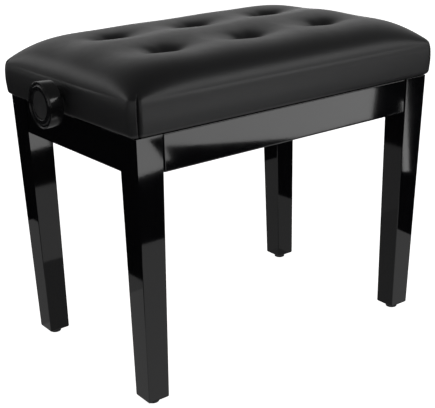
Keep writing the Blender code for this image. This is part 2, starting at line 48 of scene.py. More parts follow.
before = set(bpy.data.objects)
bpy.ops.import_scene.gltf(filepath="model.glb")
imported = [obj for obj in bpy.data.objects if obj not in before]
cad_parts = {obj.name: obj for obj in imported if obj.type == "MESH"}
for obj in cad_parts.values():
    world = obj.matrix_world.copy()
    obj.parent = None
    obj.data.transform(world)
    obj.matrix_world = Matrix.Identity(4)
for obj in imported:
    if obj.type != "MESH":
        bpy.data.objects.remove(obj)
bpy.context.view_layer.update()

MM = 0.001
CORNERS = {"front_left": (-1, -1), "front_right": (1, -1),
           "back_left": (-1, 1), "back_right": (1, 1)}
SIDES = {"front": -1, "back": 1}
ENDS = {"left": -1, "right": 1}
BUTTONS = range(1, 7)

SEAT_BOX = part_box("seat_cover")
SEAT_HALF = (SEAT_BOX[1] - SEAT_BOX[0]).xy / 2
FRAME_HALF = Vector((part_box("leg_front_right")[1].x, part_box("leg_back_left")[1].y))
LEG_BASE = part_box("leg_front_left")[0].z
SPINDLE_Z = (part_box("spindle")[0].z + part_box("spindle")[1].z) / 2


# ---------------------------------------------------------------- colours and nodes

def srgb(code):
    """The linear colour of an sRGB hex code."""
    levels = [int(code[place:place + 2], 16) / 255 for place in (1, 3, 5)]
    return tuple(level / 12.92 if level <= 0.04045 else ((level + 0.055) / 1.055) ** 2.4
                 for level in levels)


def add_node(tree, kind, settings=None, inputs=None):
    """Add a node; settings are its own attributes, inputs are values or other nodes' outputs."""
    made = tree.nodes.new(kind)
    for name, value in (settings or {}).items():
        setattr(made, name, value)
    for name, value in (inputs or {}).items():
        if isinstance(value, bpy.types.NodeSocket):
            tree.links.new(value, made.inputs[name])
        else:
            made.inputs[name].default_value = value
    return made


def link(tree, shader, sources):
    """Feed a shader's inputs from other nodes' outputs."""
    for name, output in sources.items():
        tree.links.new(output, shader.inputs[name])


def new_material(name, colour, roughness, **values):
    """A Principled material with its even values set on the shader's own sockets."""
    material = bpy.data.materials.new(name)
    material.use_nodes = True
    tree = material.node_tree
    shader = tree.nodes["Principled BSDF"]
    shader.inputs["Base Color"].default_value = (*colour, 1)
    shader.inputs["Roughness"].default_value = roughness
    for socket, value in values.items():
        shader.inputs[socket.replace("_", " ")].default_value = value
    material.diffuse_color = (*colour, 1)
    return material, tree, shader


# ---------------------------------------------------------------- materials

def polyester_lacquer():
    """Polyester lacquer, sprayed black on wood and buffed: a mirror with a faint orange peel."""
    finish = bpy.context.scene.bench_finish
    material, tree, shader = new_material("polyester_lacquer_buffed", finish.lacquer, 0.04,
                                          IOR=1.52)
    place = add_node(tree, "ShaderNodeTexCoord").outputs["Object"]
    haze = add_node(tree, "ShaderNodeTexNoise", None,
                    {"Vector": place, "Scale": 1 / (45 * MM), "Detail": 3})
    buffed = add_node(tree, "ShaderNodeMapRange", None,
                      {"Value": haze.outputs["Fac"], "To Min": 0.025, "To Max": 0.065})
    peel = add_node(tree, "ShaderNodeTexNoise", None,
                    {"Vector": place, "Scale": 1 / (5 * MM), "Detail": 1})
    peeled = add_node(tree, "ShaderNodeBump", None,
                      {"Height": peel.outputs["Fac"], "Distance": 0.004 * MM, "Strength": 1})
    specks = add_node(tree, "ShaderNodeTexNoise", None,
                      {"Vector": place, "Scale": 1 / (1.2 * MM), "Detail": 2, "Roughness": 0.6})
    speckled = add_node(tree, "ShaderNodeBump", None,
                        {"Height": specks.outputs["Fac"], "Distance": 0.0012 * MM, "Strength": 1,
                         "Normal": peeled.outputs["Normal"]})
    link(tree, shader, {"Roughness": buffed.outputs["Result"],
                        "Normal": speckled.outputs["Normal"]})
    return material


def leatherette():
    """PVC leatherette, calendered and embossed: satin, with a fine pebble grain.

    The real grain is about 0.6 mm; it is drawn at 1.4 mm so that a trace of it shows.
    """
    finish = bpy.context.scene.bench_finish
    dark = tuple(0.86 * level for level in finish.leatherette)
    material, tree, shader = new_material("pvc_leatherette_embossed", finish.leatherette, 0.40,
                                          IOR=1.42)
    place = add_node(tree, "ShaderNodeTexCoord").outputs["Object"]
    cloud = add_node(tree, "ShaderNodeTexNoise", None,
                     {"Vector": place, "Scale": 1 / (35 * MM), "Detail": 3})
    shaded = add_node(tree, "ShaderNodeMix", {"data_type": "RGBA"},
                      {"Factor": cloud.outputs["Fac"], "A": (*dark, 1),
                       "B": (*finish.leatherette, 1)})
    sheen = add_node(tree, "ShaderNodeTexNoise", None,
                     {"Vector": place, "Scale": 1 / (14 * MM), "Detail": 3})
    satin = add_node(tree, "ShaderNodeMapRange", None,
                     {"Value": sheen.outputs["Fac"], "To Min": 0.36, "To Max": 0.44})
    pebbles = add_node(tree, "ShaderNodeTexVoronoi", {"feature": "DISTANCE_TO_EDGE"},
                       {"Vector": place, "Scale": 1 / (1.4 * MM)})
    grained = add_node(tree, "ShaderNodeBump", None,
                       {"Height": pebbles.outputs["Distance"], "Distance": 0.05 * MM,
                        "Strength": 0.5})
    swell = add_node(tree, "ShaderNodeTexNoise", None,
                     {"Vector": place, "Scale": 1 / (9 * MM), "Detail": 2})
    swelled = add_node(tree, "ShaderNodeBump", None,
                       {"Height": swell.outputs["Fac"], "Distance": 0.05 * MM, "Strength": 0.5,
                        "Normal": grained.outputs["Normal"]})
    link(tree, shader, {"Base Color": shaded.outputs["Result"],
                        "Roughness": satin.outputs["Result"],
                        "Normal": swelled.outputs["Normal"]})
    return material


def upholstery_foam():
    """Polyurethane foam, slab cut: pale, matt and full of small cells."""
    material, tree, shader = new_material("polyurethane_foam_cut", srgb("#d9cfae"), 0.95)
    place = add_node(tree, "ShaderNodeTexCoord").outputs["Object"]
    cloud = add_node(tree, "ShaderNodeTexNoise", None,
                     {"Vector": place, "Scale": 1 / (20 * MM), "Detail": 3})
    shaded = add_node(tree, "ShaderNodeMix", {"data_type": "RGBA"},
                      {"Factor": cloud.outputs["Fac"], "A": (*srgb("#c9bd98"), 1),
                       "B": (*srgb("#e2d9bb"), 1)})
    cells = add_node(tree, "ShaderNodeTexVoronoi", {"feature": "F1"},
                     {"Vector": place, "Scale": 1 / (1.5 * MM)})
    pitted = add_node(tree, "ShaderNodeBump", None,
                      {"Height": cells.outputs["Distance"], "Distance": 0.5 * MM, "Strength": 1})
    link(tree, shader, {"Base Color": shaded.outputs["Result"],
                        "Normal": pitted.outputs["Normal"]})
    return material


def planed_wood(name, along, dark, light):
    """Unfinished hardwood, planed: fine grain lines that run along the piece."""
    material, tree, shader = new_material(name, srgb(light), 0.6)
    stretch = [1.0, 1.0, 1.0]
    stretch[along] = 0.06
    place = add_node(tree, "ShaderNodeTexCoord").outputs["Object"]
    drawn_out = add_node(tree, "ShaderNodeMapping", None, {"Vector": place, "Scale": stretch})
    grain = add_node(tree, "ShaderNodeTexNoise", None,
                     {"Vector": drawn_out.outputs["Vector"], "Scale": 1 / (3 * MM), "Detail": 4,
                      "Roughness": 0.65})
    shaded = add_node(tree, "ShaderNodeMix", {"data_type": "RGBA"},
                      {"Factor": grain.outputs["Fac"], "A": (*srgb(dark), 1),
                       "B": (*srgb(light), 1)})
    planed = add_node(tree, "ShaderNodeBump", None,
                      {"Height": grain.outputs["Fac"], "Distance": 0.08 * MM, "Strength": 1})
    link(tree, shader, {"Base Color": shaded.outputs["Result"],
                        "Normal": planed.outputs["Normal"]})
    return material


def zinc_plate():
    """Mild steel, zinc plated: pale metal with a faint bluish bloom and drawn lines."""
    material, tree, shader = new_material("zinc_plated_steel", srgb("#b4b8bd"), 0.34, Metallic=1.0)
    place = add_node(tree, "ShaderNodeTexCoord").outputs["Object"]
    bloom = add_node(tree, "ShaderNodeTexNoise", None,
                     {"Vector": place, "Scale": 1 / (12 * MM), "Detail": 3})
    shaded = add_node(tree, "ShaderNodeMix", {"data_type": "RGBA"},
                      {"Factor": bloom.outputs["Fac"], "A": (*srgb("#9a9fa6"), 1),
                       "B": (*srgb("#c3c6ca"), 1)})
    crystals = add_node(tree, "ShaderNodeTexNoise", None,
                        {"Vector": place, "Scale": 1 / (2 * MM), "Detail": 2})
    satin = add_node(tree, "ShaderNodeMapRange", None,
                     {"Value": crystals.outputs["Fac"], "To Min": 0.26, "To Max": 0.42})
    drawn = add_node(tree, "ShaderNodeTexNoise", None,
                     {"Vector": place, "Scale": 1 / (0.8 * MM), "Detail": 2})
    marked = add_node(tree, "ShaderNodeBump", None,
                      {"Height": drawn.outputs["Fac"], "Distance": 0.01 * MM, "Strength": 1})
    link(tree, shader, {"Base Color": shaded.outputs["Result"],
                        "Roughness": satin.outputs["Result"], "Normal": marked.outputs["Normal"]})
    return material


def powder_coat():
    """Steel strip, powder coated black: satin, with a slight pimpled texture."""
    material, tree, shader = new_material("black_powder_coated_steel", srgb("#1c1c1e"), 0.42)
    place = add_node(tree, "ShaderNodeTexCoord").outputs["Object"]
    cloud = add_node(tree, "ShaderNodeTexNoise", None,
                     {"Vector": place, "Scale": 1 / (25 * MM), "Detail": 3})
    shaded = add_node(tree, "ShaderNodeMix", {"data_type": "RGBA"},
                      {"Factor": cloud.outputs["Fac"], "A": (*srgb("#161618"), 1),
                       "B": (*srgb("#222224"), 1)})
    pimples = add_node(tree, "ShaderNodeTexNoise", None,
                       {"Vector": place, "Scale": 1 / (1.5 * MM), "Detail": 2})
    pimpled = add_node(tree, "ShaderNodeBump", None,
                       {"Height": pimples.outputs["Fac"], "Distance": 0.03 * MM, "Strength": 1})
    link(tree, shader, {"Base Color": shaded.outputs["Result"],
                        "Normal": pimpled.outputs["Normal"]})
    return material


def moulded_abs(name, code, roughness, texture):
    """ABS, injection moulded black: even and glossy, or spark textured where texture is high."""
    material, tree, shader = new_material(name, srgb(code), roughness, IOR=1.53)
    place = add_node(tree, "ShaderNodeTexCoord").outputs["Object"]
    flow = add_node(tree, "ShaderNodeTexNoise", None,
                    {"Vector": place, "Scale": 1 / (6 * MM), "Detail": 2})
    gloss = add_node(tree, "ShaderNodeMapRange", None,
                     {"Value": flow.outputs["Fac"], "To Min": roughness * 0.85,
                      "To Max": roughness * 1.15})
    sparks = add_node(tree, "ShaderNodeTexNoise", None,
                      {"Vector": place, "Scale": 1 / (0.9 * MM), "Detail": 2})
    textured = add_node(tree, "ShaderNodeBump", None,
                        {"Height": sparks.outputs["Fac"], "Distance": texture * MM, "Strength": 1})
    link(tree, shader, {"Roughness": gloss.outputs["Result"],
                        "Normal": textured.outputs["Normal"]})
    return material


def moulded_nylon():
    """Nylon, injection moulded dark grey: matt and slightly waxy."""
    material, tree, shader = new_material("nylon_moulded", srgb("#121213"), 0.55, IOR=1.4)
    place = add_node(tree, "ShaderNodeTexCoord").outputs["Object"]
    flow = add_node(tree, "ShaderNodeTexNoise", None,
                    {"Vector": place, "Scale": 1 / (8 * MM), "Detail": 2})
    shaded = add_node(tree, "ShaderNodeMix", {"data_type": "RGBA"},
                      {"Factor": flow.outputs["Fac"], "A": (*srgb("#0e0e0f"), 1),
                       "B": (*srgb("#161617"), 1)})
    grit = add_node(tree, "ShaderNodeTexNoise", None,
                    {"Vector": place, "Scale": 1 / MM, "Detail": 2})
    textured = add_node(tree, "ShaderNodeBump", None,
                        {"Height": grit.outputs["Fac"], "Distance": 0.02 * MM, "Strength": 1})
    link(tree, shader, {"Base Color": shaded.outputs["Result"],
                        "Normal": textured.outputs["Normal"]})
    return material


MADE = {}


def finish_of(maker, *details):
    """The material that maker makes with these details, made once."""
    key = "%s%s" % (maker.__name__, details)
    if key not in MADE:
        MADE[key] = maker(*details)
    return MADE[key]


# ---------------------------------------------------------------- pieces

def piece(name, bm, materials, body, replaces=(), sharp_above=40):
    """Make a finished piece from a bmesh and hang it on its body."""
    mesh = bpy.data.meshes.new(name)
    bm.to_mesh(mesh)
    bm.free()
    return piece_of_mesh(name, mesh, materials, body, replaces, sharp_above)


def piece_of_mesh(name, mesh, materials, body, replaces=(), sharp_above=40):
    """Make a finished piece from a mesh and hang it on its body."""
    mesh.materials.clear()
    for material in materials:
        mesh.materials.append(material)
    mesh.shade_smooth()
    mesh.set_sharp_from_angle(angle=math.radians(sharp_above))
    obj = bpy.data.objects.new(name, mesh)
    bpy.context.scene.collection.objects.link(obj)
    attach(obj, body)
    if replaces:
        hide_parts(*replaces)
    return obj


def finish_nodes(names, material):
    """Give kept CAD nodes their material."""
    for name in names:
        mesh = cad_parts[name].data
        mesh.materials.clear()
        mesh.materials.append(material)


def rounded(points, steps=4):
    """An outline whose corners are rounded: each point is (across, along, how far it rounds)."""
    outline = []
    for index, (across, along, size) in enumerate(points):
        corner = Vector((across, along))
        if size == 0 or index in (0, len(points) - 1):
            outline.append(corner)
            continue
        before = (Vector(points[index - 1][:2]) - corner).normalized() * size + corner
        after = (Vector(points[index + 1][:2]) - corner).normalized() * size + corner
        for step in range(steps + 1):
            share = step / steps
            outline.append(before.lerp(corner, share).lerp(corner.lerp(after, share), share))
    return outline


def turned(outline, steps, origin, facing=(0, 0, 1), ring=False):
    """A turned body about facing: its outline is (radius, height) points."""
    bm = bmesh.new()
    points = [bm.verts.new((radius, 0, height)) for radius, height in outline]
    edges = [bm.edges.new(pair) for pair in zip(points, points[1:])]
    if ring:
        edges.append(bm.edges.new((points[-1], points[0])))
    bmesh.ops.spin(bm, geom=points + edges, axis=(0, 0, 1), cent=(0, 0, 0), steps=steps,
                   angle=2 * math.pi, use_merge=True)
    bmesh.ops.remove_doubles(bm, verts=bm.verts, dist=0.001 * MM)
    bmesh.ops.recalc_face_normals(bm, faces=bm.faces)
    turn = Vector(facing).to_track_quat("Z", "Y").to_matrix().to_4x4()
    bmesh.ops.transform(bm, matrix=Matrix.Translation(origin) @ turn, verts=bm.verts)
    return bm


def block(low, high, foot=None):
    """A block between two corners; foot is the (low, high) rectangle of its lower end."""
    bm = bmesh.new()
    bmesh.ops.create_cube(bm, size=1.0)
    for vert in bm.verts:
        ends = foot if foot and vert.co.z < 0 else (low, high)
        vert.co = Vector([(ends[1] if vert.co[axis] > 0 else ends[0])[axis] for axis in (0, 1)]
                         + [high.z if vert.co.z > 0 else low.z])
    return bm


def soften(obj, radius, segments=4):
    """Round a block's edges and keep its faces looking flat."""
    modifier = obj.modifiers.new("rounded_edges", "BEVEL")
    modifier.width = radius
    modifier.segments = segments
    modifier.limit_method = "ANGLE"
    modifier.harden_normals = True
    return obj


# ---------------------------------------------------------------- legs, aprons, glides

def leg_foot(corner):
    """The rectangle of a leg's lower end, out to its unrounded edges."""
    shape = bpy.context.scene.bench_shape
    points = [vert.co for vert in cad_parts["leg_" + corner].data.vertices
              if vert.co.z < LEG_BASE + shape.cad_edge * 1.5]
    xs = [point.x for point in points]
    ys = [point.y for point in points]
    return Vector((min(xs), min(ys), LEG_BASE)), Vector((max(xs), max(ys), LEG_BASE))


class BENCH_OT_legs(bpy.types.Operator):
    """Make the four tapered legs in buffed lacquer"""
    bl_idname = "bench.legs"
    bl_label = "Legs"

    def execute(self, context):
        shape = context.scene.bench_shape
        for corner, (sign_x, sign_y) in CORNERS.items():
            name = "leg_" + corner
            low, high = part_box(name)
            for axis, sign in enumerate((sign_x, sign_y)):
                if sign > 0:
                    low[axis] = high[axis] - shape.leg_top
                else:
                    high[axis] = low[axis] + shape.leg_top
            bm = block(low, high, leg_foot(corner))
            below = [edge for edge in bm.edges if max(v.co.z for v in edge.verts) < LEG_BASE + MM]
            bmesh.ops.bevel(bm, geom=below, offset=shape.foot_chamfer, segments=1,
                            affect="EDGES", profile=0.5)
            leg = piece("lacquered_" + name, bm, [finish_of(polyester_lacquer)], "base",
                        [name])
            soften(leg, shape.leg_edge)
        return {"FINISHED"}


class BENCH_OT_aprons(bpy.types.Operator):
    """Make the four aprons between the legs"""
    bl_idname = "bench.aprons"
    bl_label = "Aprons"

    def execute(self, context):
        for side in [*SIDES, *ENDS]:
            name = "apron_" + side
            apron = piece("lacquered_" + name, block(*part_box(name)),
                          [finish_of(polyester_lacquer)], "base", [name])
            soften(apron, context.scene.bench_shape.apron_edge)
        return {"FINISHED"}


class BENCH_OT_glides(bpy.types.Operator):
    """Make the round nylon glides under the legs"""
    bl_idname = "bench.glides"
    bl_label = "Glides"

    def execute(self, context):
        for corner in CORNERS:
            name = "glide_" + corner
            low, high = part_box(name)
            radius = (high.x - low.x) / 2
            pin, shoulder_drop = 2 * MM, 1 * MM
            outline = rounded([
                (0, high.z, 0), (pin, high.z, 0.4 * MM), (pin, LEG_BASE, 0.3 * MM),
                (radius - shoulder_drop, LEG_BASE, 0.5 * MM),
                (radius, LEG_BASE - shoulder_drop, 1 * MM), (radius, 0, 1.8 * MM), (0, 0, 0)])
            middle = Vector(((low.x + high.x) / 2, (low.y + high.y) / 2, 0))
            piece("nylon_" + name, turned(outline, 48, middle), [finish_of(moulded_nylon)],
                  "base", [name])
        return {"FINISHED"}


class BENCH_OT_corner_joints(bpy.types.Operator):
    """Finish the corner blocks, hanger bolts and nuts"""
    bl_idname = "bench.corner_joints"
    bl_label = "Corner joints"

    def execute(self, context):
        wood = finish_of(planed_wood, "beech_planed_across", 1, "#a9794c", "#cfa274")
        finish_nodes(["corner_block_" + corner for corner in CORNERS], wood)
        finish_nodes(["leg_bolt_" + corner for corner in CORNERS], finish_of(zinc_plate))
        finish_nodes(["leg_nut_" + corner for corner in CORNERS], finish_of(zinc_plate))
        return {"FINISHED"}


# ---------------------------------------------------------------- cushion

def crown_half(shape):
    """Half the length and width of the crown, inside the rolled edge."""
    return SEAT_HALF - Vector((shape.edge_roll, shape.edge_roll))


def grid_lines(half):
    """Lines from -half to half, 4 mm apart, that crowd together towards both ends."""
    reach, count, crowding = 30 * MM, 14, 1.8
    flat = half - reach
    middle = np.linspace(-flat, flat, round(2 * flat / (4 * MM)) + 1)
    edge = half - reach * (np.arange(count - 1, -1, -1) / count) ** crowding
    return np.concatenate([-edge[::-1], middle, edge])


def shoulder(distance, reach, roundness):
    """Share of the crown's height at a distance from the edge: steep there, level at reach."""
    start = 1 * MM
    left = 1 - np.clip((distance + start) / reach, 0, 1)
    foot = (1 - (1 - start / reach) ** roundness) ** (1 / roundness)
    return ((1 - left ** roundness) ** (1 / roundness) - foot) / (1 - foot)


def crown_height(x, y, shape):
    """Height of the crown over the wall's top edge at places on the seat."""
    half = crown_half(shape)
    ends = shoulder(half.x - np.abs(x), shape.crown_reach_x, shape.crown_roundness)
    sides = shoulder(half.y - np.abs(y), shape.crown_reach_y, shape.crown_roundness)
    return shape.crown_rise * ends * sides


def dimple_depth(x, y, shape):
    """How far the buttons pull the cover down at places on the seat."""
    folds = 5
    funnel, sag = np.zeros_like(x), np.zeros_like(x)
    for place in BUTTONS:
        low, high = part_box("button_%d" % place)
        across = x - (low.x + high.x) / 2
        along = y - (low.y + high.y) / 2
        reach = np.hypot(across / shape.dimple_stretch, along)
        pull = shape.dimple_depth / (1 + (reach / shape.dimple_radius) ** shape.dimple_steepness)
        near = np.exp(-(reach / shape.dimple_radius - 1) ** 2)
        fold = shape.pucker * near * np.cos(folds * np.arctan2(along, across) + place)
        funnel = np.maximum(funnel, pull + fold)
        sag += shape.sag_depth * np.exp(-(across / shape.sag_reach_x) ** 2
                                        - (along / shape.sag_reach_y) ** 2)
    return funnel + sag


def plan_place(x, y, half, radius):
    """Pull a square grid's corners in to round ones."""
    over_x = np.maximum(np.abs(x) - (half.x - radius), 0)
    over_y = np.maximum(np.abs(y) - (half.y - radius), 0)
    new_x = over_x * np.sqrt(1 - (over_y / radius) ** 2 / 2)
    new_y = over_y * np.sqrt(1 - (over_x / radius) ** 2 / 2)
    return x + np.sign(x) * (new_x - over_x), y + np.sign(y) * (new_y - over_y)


def cushion_skin(shape):
    """The cover's outer surface, open below: a crowned top and four upright walls."""
    half, radius = crown_half(shape), shape.corner_radius
    xs, ys = grid_lines(half.x), grid_lines(half.y)
    x, y = np.meshgrid(xs, ys, indexing="ij")
    edge_z = SEAT_BOX[0].z + shape.wall_height
    z = edge_z + crown_height(x, y, shape) - dimple_depth(x, y, shape)
    px, py = plan_place(x, y, half, radius)
    bm = bmesh.new()
    rows = [[bm.verts.new((px[i, j], py[i, j], z[i, j])) for j in range(len(ys))]
            for i in range(len(xs))]
    for i in range(len(xs) - 1):
        for j in range(len(ys) - 1):
            bm.faces.new((rows[i][j], rows[i + 1][j], rows[i + 1][j + 1], rows[i][j + 1]))
    rim = ([row[0] for row in rows[:-1]] + rows[-1][:-1]
           + [row[-1] for row in reversed(rows[1:])] + rows[0][:0:-1])
    wall_rows = 16
    for step in range(1, wall_rows + 1):
        down = step / wall_rows
        ring = []
        for vert in rim:
            centre = Vector((max(-half.x + radius, min(half.x - radius, vert.co.x)),
                             max(-half.y + radius, min(half.y - radius, vert.co.y))))
            outward = (vert.co.xy - centre).normalized()
            out = wall_outset(down, shape) - wall_outset((step - 1) / wall_rows, shape)
            ring.append(bm.verts.new((vert.co.x + outward.x * out, vert.co.y + outward.y * out,
                                      edge_z - wall_drop(down, shape))))
        for index, vert in enumerate(rim):
            after = (index + 1) % len(rim)
            bm.faces.new((vert, ring[index], ring[after], rim[after]))
        rim = ring
    return bm


def wall_drop(down, shape):
    """How far below its top edge the wall is, this share of the way down."""
    gain = 1.03  # it is down a little before its end, and turns in level from there
    return (shape.wall_height + shape.wall_drop) * min(1.0, gain * down)


def wall_outset(down, shape):
    """How far the wall stands out of the seat's outline, from its top edge to its tuck."""
    roll_end, tuck_start, steepness = 0.22, 0.86, 2.2
    roll = shape.edge_roll * (1 - max(0.0, 1 - down / roll_end) ** 2)
    bulge = shape.wall_bulge * math.sin(math.pi * min(down / tuck_start, 1))
    tuck = max(0.0, (down - tuck_start) / (1 - tuck_start))
    return roll + bulge - shape.wall_tuck * tuck ** steepness


def pleat_corners(mesh, shape):
    """Press the folded pleat into each corner of the walls."""
    radius = shape.corner_radius
    outer_share = 0.45  # the fold's outer side is narrower than its inner one
    core_share, widest_angle, fade = 0.3, 1.4, 1.5
    count = len(mesh.vertices)
    points = np.zeros(count * 3)
    mesh.vertices.foreach_get("co", points)
    points = points.reshape(-1, 3)
    edge_z = SEAT_BOX[0].z + shape.wall_height
    for sign_x, sign_y in CORNERS.values():
        centre = np.array([sign_x * (SEAT_HALF.x - radius), sign_y * (SEAT_HALF.y - radius)])
        away = (points[:, :2] - centre) * (sign_x, sign_y)
        reach = np.hypot(away[:, 0], away[:, 1])
        angle = np.arctan2(away[:, 1], away[:, 0]) - math.radians(45)
        along = angle * reach * sign_x * -sign_y + shape.pleat_place
        near = ((away.max(axis=1) > 0) & (reach > core_share * radius)
                & (np.abs(angle) < widest_angle))
        height = np.clip((points[:, 2] - edge_z) / shape.pleat_fade, 0, 1)
        side = shape.pleat_width * np.where(along > 0, outer_share, 1)
        groove = np.exp(-(along / side) ** 2) * (1 - height) ** fade
        inward = shape.pleat_depth * np.where(near, groove, 0)
        direction = -(points[:, :2] - centre) / np.maximum(reach, 1e-6)[:, None]
        points[:, :2] += direction * inward[:, None]
    mesh.vertices.foreach_set("co", points.ravel())
    mesh.update()


def drawn_edge(bm, edges):
    """Extrude a row of edges; return its new points and its new open edges."""
    made = bmesh.ops.extrude_edge_only(bm, edges=edges)["geom"]
    return ([item for item in made if isinstance(item, bmesh.types.BMVert)],
            [item for item in made if isinstance(item, bmesh.types.BMEdge) and item.is_boundary])


def close_below(bm):
    """Close the cover round the space that the board and the wooden rails fill."""
    clearance, slack = 0.5 * MM, 0.1 * MM
    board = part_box("seat_board")[1]
    reach_x, reach_y, ceiling = (size + clearance for size in board)
    lip, lip_edges = drawn_edge(bm, [edge for edge in bm.edges if edge.is_boundary])
    for vert in lip:
        vert.co.x = max(-reach_x, min(reach_x, vert.co.x))
        vert.co.y = max(-reach_y, min(reach_y, vert.co.y))
    roof, roof_edges = drawn_edge(bm, lip_edges)
    for vert in roof:
        vert.co.z = ceiling
    bmesh.ops.holes_fill(bm, edges=roof_edges, sides=0)
    bmesh.ops.remove_doubles(bm, verts=lip + roof, dist=0.01 * MM)
    bmesh.ops.recalc_face_normals(bm, faces=bm.faces)
    for face in bm.faces:
        inside = all(abs(vert.co.x) < reach_x + slack and abs(vert.co.y) < reach_y + slack
                     and vert.co.z < ceiling + slack for vert in face.verts)
        face.material_index = 1 if inside else 0


class BENCH_OT_cushion(bpy.types.Operator):
    """Make the crowned, buttoned leatherette cushion"""
    bl_idname = "bench.cushion"
    bl_label = "Cushion"

    def execute(self, context):
        shape = context.scene.bench_shape
        mesh = bpy.data.meshes.new("cushion_skin")
        bm = cushion_skin(shape)
        bm.to_mesh(mesh)
        bm.free()
        cover = bpy.data.objects.new("cushion_skin", mesh)
        context.scene.collection.objects.link(cover)
        smooth = cover.modifiers.new("smooth", "SUBSURF")
        smooth.levels = 1
        smooth.render_levels = 1
        depsgraph = context.evaluated_depsgraph_get()
        fine = bpy.data.meshes.new_from_object(cover.evaluated_get(depsgraph))
        bpy.data.objects.remove(cover)
        pleat_corners(fine, shape)
        bm = bmesh.new()
        bm.from_mesh(fine)
        close_below(bm)
        cushion = piece("buttoned_cushion", bm,
                        [finish_of(leatherette), finish_of(upholstery_foam)], "seat",
                        ["seat_cover", "foam_pad"], sharp_above=60)
        return {"FINISHED"}


class BENCH_OT_buttons(bpy.types.Operator):
    """Make the six covered buttons"""
    bl_idname = "bench.buttons"
    bl_label = "Buttons"

    def execute(self, context):
        shape = context.scene.bench_shape
        edge_z = SEAT_BOX[0].z + shape.wall_height
        for place in BUTTONS:
            name = "button_%d" % place
            low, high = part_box(name)
            radius = (high.x - low.x) / 2
            x, y = np.array([(low.x + high.x) / 2]), np.array([(low.y + high.y) / 2])
            pulled = crown_height(x, y, shape) - dimple_depth(x, y, shape)
            outline = rounded([(0, 4.2 * MM, 0), (0.55 * radius, 3.6 * MM, 1.5 * MM),
                               (radius, 1.8 * MM, 1.2 * MM), (0.92 * radius, -1 * MM, 0.5 * MM),
                               (0, -1 * MM, 0)])
            middle = Vector((x[0], y[0], edge_z + pulled[0]))
            piece("covered_" + name, turned(outline, 40, middle), [finish_of(leatherette)],
                  "seat", [name])
        return {"FINISHED"}


class BENCH_OT_seat_frame(bpy.types.Operator):
    """Finish the board and rails inside the seat"""
    bl_idname = "bench.seat_frame"
    bl_label = "Seat frame"

    def execute(self, context):
        along_x = finish_of(planed_wood, "beech_planed_along", 0, "#a9794c", "#cfa274")
        along_y = finish_of(planed_wood, "beech_planed_across", 1, "#a9794c", "#cfa274")
        plywood = finish_of(planed_wood, "birch_plywood", 0, "#b98f5e", "#d8b483")
        finish_nodes(["seat_rail_front", "seat_rail_back"], along_x)
        finish_nodes(["seat_rail_left", "seat_rail_right"], along_y)
        finish_nodes(["seat_board"], plywood)
        return {"FINISHED"}


# ---------------------------------------------------------------- lifting gear

class BENCH_OT_lift(bpy.types.Operator):
    """Finish the strips, arms, axles, pins and nut bar"""
    bl_idname = "bench.lift"
    bl_label = "Lifting gear"

    def execute(self, context):
        coated = [kind + side for side in SIDES
                  for kind in ("base_strip_", "seat_strip_", "outer_arm_", "inner_arm_")]
        plated = [kind + side for side in SIDES for kind in ("centre_pin_", "seat_pivot_")]
        finish_nodes(coated, finish_of(powder_coat))
        finish_nodes(plated + ["base_axle", "sliding_axle", "nut_bar"], finish_of(zinc_plate))
        return {"FINISHED"}


def thread_tree():
    """Node tree for a screw thread: a core and a ridge that winds along it."""
    tree = bpy.data.node_groups.new("screw_thread", "GeometryNodeTree")
    sockets = {}
    for name, kind in (("Core Radius", "NodeSocketFloat"), ("Crest Radius", "NodeSocketFloat"),
                       ("Pitch", "NodeSocketFloat"), ("Length", "NodeSocketFloat"),
                       ("Place", "NodeSocketVector"), ("Material", "NodeSocketMaterial")):
        sockets[name] = tree.interface.new_socket(name, in_out="INPUT", socket_type=kind)
    tree.interface.new_socket("Geometry", in_out="OUTPUT", socket_type="NodeSocketGeometry")
    given = add_node(tree, "NodeGroupInput").outputs
    turns = add_node(tree, "ShaderNodeMath", {"operation": "DIVIDE"},
                     {0: given["Length"], 1: given["Pitch"]})
    depth = add_node(tree, "ShaderNodeMath", {"operation": "SUBTRACT"},
                     {0: given["Crest Radius"], 1: given["Core Radius"]})
    winding = add_node(tree, "GeometryNodeCurveSpiral", None,
                       {"Resolution": 28, "Rotations": turns.outputs[0],
                        "Start Radius": given["Core Radius"], "End Radius": given["Core Radius"],
                        "Height": given["Length"]})
    ridge = add_node(tree, "GeometryNodeCurvePrimitiveCircle", {"mode": "RADIUS"},
                     {"Resolution": 6, "Radius": depth.outputs[0]})
    swept = add_node(tree, "GeometryNodeCurveToMesh", None,
                     {"Curve": winding.outputs["Curve"], "Profile Curve": ridge.outputs["Curve"],
                      "Fill Caps": True})
    core = add_node(tree, "GeometryNodeMeshCylinder", None,
                    {"Vertices": 40, "Radius": given["Core Radius"], "Depth": given["Length"]})
    half = add_node(tree, "ShaderNodeMath", {"operation": "MULTIPLY"},
                    {0: given["Length"], 1: 0.5})
    rise = add_node(tree, "ShaderNodeCombineXYZ", None, {"Z": half.outputs[0]})
    lifted = add_node(tree, "GeometryNodeTransform", None,
                      {"Geometry": core.outputs["Mesh"], "Translation": rise.outputs[0]})
    joined = add_node(tree, "GeometryNodeJoinGeometry")
    tree.links.new(swept.outputs["Mesh"], joined.inputs[0])
    tree.links.new(lifted.outputs["Geometry"], joined.inputs[0])
    placed = add_node(tree, "GeometryNodeTransform", None,
                      {"Geometry": joined.outputs[0], "Translation": given["Place"],
                       "Rotation": (0, math.radians(90), 0)})
    whole = add_node(tree, "GeometryNodeRealizeInstances", None,
                     {"Geometry": placed.outputs["Geometry"]})
    coloured = add_node(tree, "GeometryNodeSetMaterial", None,
                        {"Geometry": whole.outputs[0], "Material": given["Material"]})
    out = add_node(tree, "NodeGroupOutput")
    tree.links.new(coloured.outputs[0], out.inputs[0])
    return tree, {name: socket.identifier for name, socket in sockets.items()}


